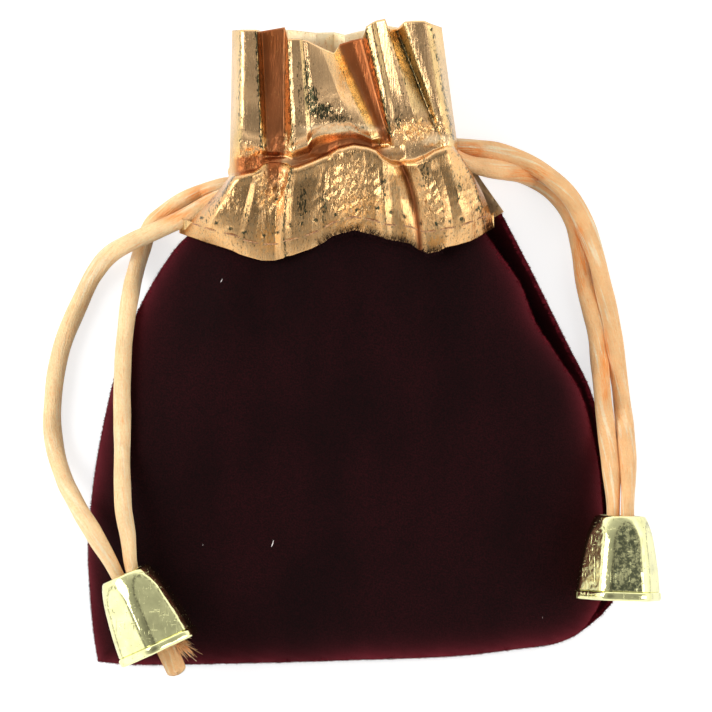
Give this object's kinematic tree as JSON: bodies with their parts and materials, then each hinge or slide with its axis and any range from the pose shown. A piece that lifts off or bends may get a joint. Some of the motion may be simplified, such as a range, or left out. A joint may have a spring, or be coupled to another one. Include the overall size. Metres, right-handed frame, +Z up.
{
  "type": "potli bag",
  "caption": "Small drawstring pouch lying flat: soft velvet body, gathered metallic cloth collar, two cord loops, each ending in a six-sided bell-shaped cord end",
  "frame": {"origin": "middle of the bag's footprint on the table it lies on, cords and bells left out", "axes": "+Y from the bottom seam to the mouth, +Z up from the table, +X to the right as seen from above with the mouth away from the viewer"},
  "size_m": [0.0864, 0.0906, 0.0177],
  "materials": {
    "velvet": "dark wine-red short-pile velvet",
    "foil_cloth": "pleated metallic gold foil cloth",
    "satin_cord": "peach satin rattail cord",
    "gold_plate": "bright greenish gold plate with fine scratches"
  },
  "bodies": {
    "root": {"velvet_front_panel": "velvet", "velvet_back_panel": "velvet", "collar_front": "foil_cloth", "collar_back": "foil_cloth", "cord_left": "satin_cord", "cord_right": "satin_cord", "bell_left": "gold_plate", "bell_right": "gold_plate"}
  },
  "joints": []
}
